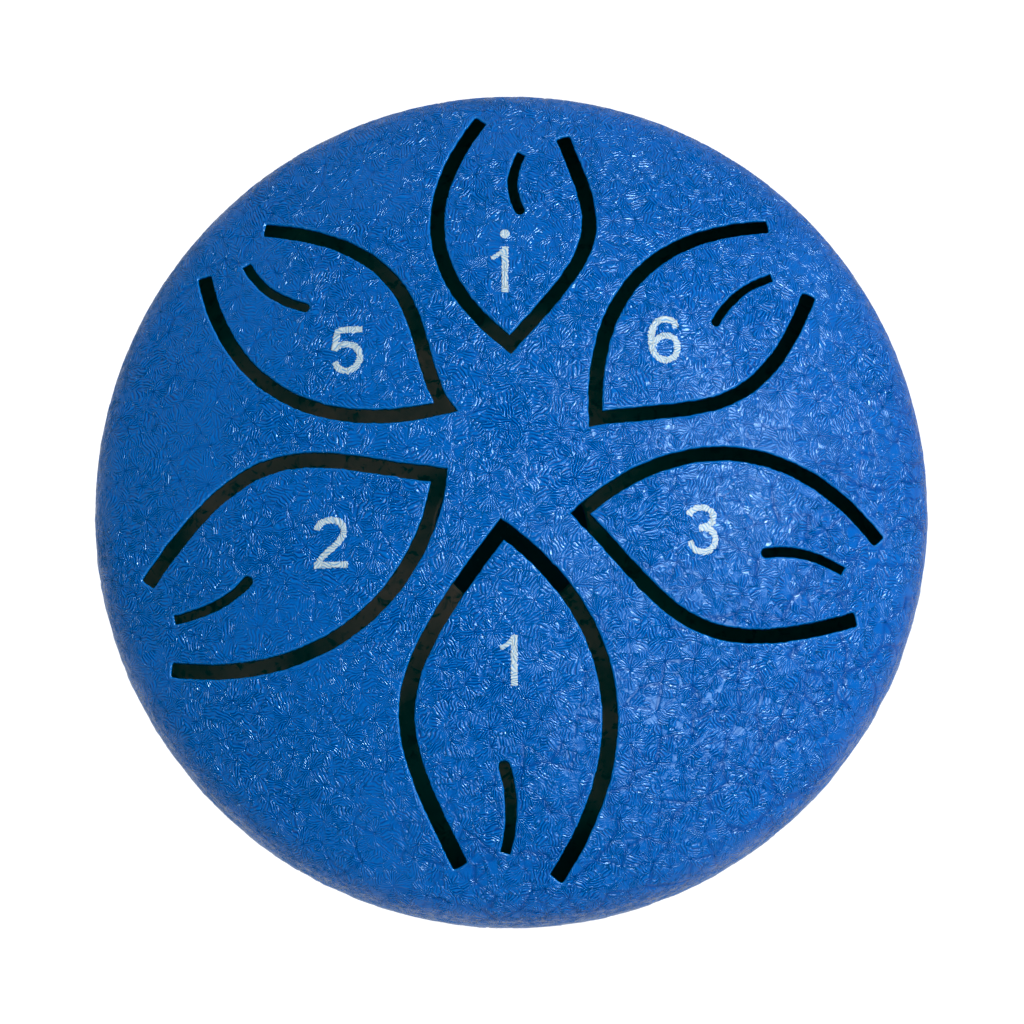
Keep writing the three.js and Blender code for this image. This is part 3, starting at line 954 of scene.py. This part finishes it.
# ---------------------------------------------------------------- weld bead, feet and tape
def turned_piece(name, profile, steps, material, place=(0, 0, 0), lift=None):
    """A closed ring or button turned from a profile of (radius, height). lift is its relief."""
    p = np.array(profile, float)
    closed = np.hypot(*(p[0] - p[-1])) < 1e-9
    if closed:
        p = p[:-1]
    on_axis = p[:, 0] < 1e-9
    d = np.gradient(np.vstack([p[-1:], p, p[:1]]) if closed else p, axis=0)
    d = d[1:-1] if closed else d
    d /= np.maximum(np.linalg.norm(d, axis=1), 1e-9)[:, None]
    nr, nz = d[:, 1], -d[:, 0]
    run = np.r_[0, np.cumsum(np.linalg.norm(np.diff(p, axis=0), axis=1))]
    a = np.arange(steps) * 2 * math.pi / steps
    co, uv, ids, k = [], [], [], 0
    for i, (r, z) in enumerate(p):
        if on_axis[i]:
            co.append([[0, 0, z]])
            uv.append([[0, run[i]]])
            ids.append(np.full(steps, k))
            k += 1
            continue
        flat = np.stack([a * SHELL_R, np.full(steps, run[i] + UNROLLED_FROM)], -1)
        h = lift(flat) if lift else 0
        rr, zz = r + nr[i] * h, z + nz[i] * h + np.zeros(steps)
        co.append(np.stack([rr * np.cos(a), rr * np.sin(a), zz], -1))
        uv.append(flat)
        ids.append(np.arange(k, k + steps))
        k += steps
    tris = []
    rows = len(p) if closed else len(p) - 1
    for i in range(rows):
        u, v = ids[i], ids[(i + 1) % len(p)]
        u2, v2 = np.roll(u, -1), np.roll(v, -1)
        if u[0] != u[1]:
            tris.append(np.stack([u, u2, v], 1))
        if v[0] != v[1]:
            tris.append(np.stack([u2, v2, v], 1))
    co = np.vstack(co) + np.array(place)
    # the seam's painted reflection, as the paler edge colour; of these pieces only the coated weld bead reads
    # it
    ob = make_mesh(name, co, np.vstack(tris), np.vstack(uv), wall_attrs(len(co), SEAM_PAINTED_REFLECTION))
    ob.data.materials.append(material)
    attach(ob, "root")
    return ob


def bead_profile():
    """A low crowned band over the seam, closed behind the coat."""
    back, low, high = SHELL_R - 0.3, SEAM_Z - BEAD_HALF, SEAM_Z + BEAD_HALF
    front = [(SHELL_R + BEAD_OUT + BEAD_CROWN * math.cos(t * math.pi / 2), SEAM_Z + BEAD_HALF * t)
             for t in np.linspace(-1, 1, 25)]
    return [(back, low)] + front + [(back, high), (back, low)]


def bead_relief(flat):
    """The coat's relief on the bead, and the unevenness of the weld under it."""
    height, attrs = relief(flat, BEAD_SEED, 2.0)
    weld = 0.05 * noise(flat, 1.9, BEAD_SEED + 3) + 0.03 * noise(flat, 0.8, BEAD_SEED + 4)
    return 0.8 * height + FOLD_MESH * folded(attrs["fan"], attrs["weave"]) + weld


def foot_profile():
    """A bumper from the middle of its dimpled underside, round its edge, to the middle of its top."""
    turn = 0.7
    under = [(0, 0.12), (1.6, 0.12), (1.9, 0.02), (2.3, 0.0), (FOOT_R - 0.75, 0.0)]
    edge = [(FOOT_R - turn + turn * math.sin(t), turn - turn * math.cos(t))
            for t in np.linspace(0.15, 1.45, 9)]
    side = [(FOOT_R + 0.1, 1.0), (FOOT_R + 0.36, FOOT_TOP - 0.12), (FOOT_R + 0.34, FOOT_TOP - 0.04)]
    return under + edge + side + [(FOOT_R + 0.28, FOOT_TOP), (0, FOOT_TOP)]


def tape_profile():
    """A disc with its edges a little worn."""
    worn = TAPE_R - 0.04
    edge = [(worn, 0.0), (TAPE_R, 0.05), (TAPE_R, TAPE_THICK - 0.05), (worn, TAPE_THICK)]
    return [(0, 0.0)] + edge + [(0, TAPE_THICK)]


ob = turned_piece("rim_weld_bead", bead_profile(), BEAD_STEPS, COAT, lift=bead_relief)
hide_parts("rim_weld")

for i in (1, 2, 3):
    lo, hi = solid_box(f"foot_{i}")
    x, y = (lo[0] + hi[0]) / 2, (lo[1] + hi[1]) / 2
    foot = turned_piece(f"foot_bumper_{i}", foot_profile(), 96, SILICONE, (x, y, 0))
    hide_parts(f"foot_{i}")
    tape = turned_piece(f"foot_adhesive_{i}", tape_profile(), 96, TAPE, (x, y, FOOT_TOP))
    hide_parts(f"foot_tape_{i}")

# ---------------------------------------------------------------- stage, lights and camera
FLOOR_HALF = 3
floor = bpy.data.objects.new("floor", bpy.data.meshes.new("floor"))
floor_corners = [(x * FLOOR_HALF, y * FLOOR_HALF, 0) for x, y in ((-1, -1), (1, -1), (1, 1), (-1, 1))]
floor.data.from_pydata(floor_corners, [], [(0, 1, 2, 3)])
floor.data.materials.append(FLOOR)
bpy.context.scene.collection.objects.link(floor)
floor.visible_glossy = False      # the photograph's white ground was not there for the coat to mirror
# painted shade: a dark disc on the floor under the sound hole, so the hole shows dark rather than the lit
# floor
bpy.ops.mesh.primitive_cylinder_add(vertices=96, radius=0.013, depth=0.0004, location=(0, 0, 0.0002))
shade_pad = bpy.context.object
shade_pad.name = "painted_shade_pad"
shade_pad.data.materials.append(SILICONE)

LIGHTS_ABOUT_Z = 0.03             # the height that the lights are aimed at
SOFTBOXES = (("key_softbox", 25, 38, 0.2, 4.2), ("front_softbox", -42, 43, 0.34, 1.9))


def area_light(name, bearing, tilt, distance, size, power):
    """A soft light aimed at the drum, tilt degrees from straight above it towards a bearing from +X."""
    a, t = math.radians(bearing), math.radians(tilt)
    way = Vector((math.sin(t) * math.cos(a), math.sin(t) * math.sin(a), math.cos(t)))
    data = bpy.data.lights.new(name, "AREA")
    data.shape, data.size, data.energy = "SQUARE", size, power
    ob = bpy.data.objects.new(name, data)
    ob.location = way * distance + Vector((0, 0, LIGHTS_ABOUT_Z))
    ob.rotation_mode = "QUATERNION"
    ob.rotation_quaternion = way.to_track_quat("Z", "Y")
    bpy.context.scene.collection.objects.link(ob)
    return ob


def light_link(light, receivers, blockers=None, state="INCLUDE"):
    """Limits a light to some receivers, or keeps it off them, and may limit what shades it."""
    def group_of(objects, role):
        group = bpy.data.collections.new(f"{light.name}_{role}")
        for ob in objects:
            group.objects.link(ob)
        return group
    group = group_of(receivers, "receivers")
    for item in group.collection_objects:
        item.light_linking.link_state = state
    light.light_linking.receiver_collection = group
    if blockers:
        light.light_linking.blocker_collection = group_of(blockers, "blockers")


for name, bearing, tilt, size, power in SOFTBOXES:
    light_link(area_light(name, bearing, tilt, 0.75, size, power), [floor, shade_pad], state="EXCLUDE")
light_link(area_light("floor_softbox", 0, 0, 1.5, 1.6, 30.0), [floor], [floor])

world = bpy.data.worlds.new("studio")
world.use_nodes = True
background = world.node_tree.nodes["Background"]
background.inputs["Color"].default_value = (1.0, 1.0, 1.0, 1)
background.inputs["Strength"].default_value = 0.47
bpy.context.scene.world = world

ELEVATION = 83.5                  # degrees, as the photograph looks down on the drum
CAMERA_AWAY = 0.5
LENS = 185.4
cam_data = bpy.data.cameras.new("camera")
cam = bpy.data.objects.new("camera", cam_data)
cam_data.lens, cam_data.sensor_width = LENS, 36.0
target = Vector((0.00007, -0.00004, SEAM_Z * MM))
tilt_up = math.radians(ELEVATION)
back = Vector((0, -math.cos(tilt_up), math.sin(tilt_up)))
cam.location = target + back * CAMERA_AWAY
cam.rotation_mode = "QUATERNION"
cam.rotation_quaternion = (-back).to_track_quat("-Z", "Y")
cam_data.clip_start, cam_data.clip_end = 0.01, 20
bpy.context.scene.collection.objects.link(cam)
bpy.context.scene.camera = cam
view = bpy.context.scene.view_settings
view.view_transform = "Standard"
view.use_curve_mapping = True     # the blue is deeper than a screen's own, so red starts a little above black
view.curve_mapping.black_level = (0.016, 0.0, 0.0)
view.curve_mapping.update()
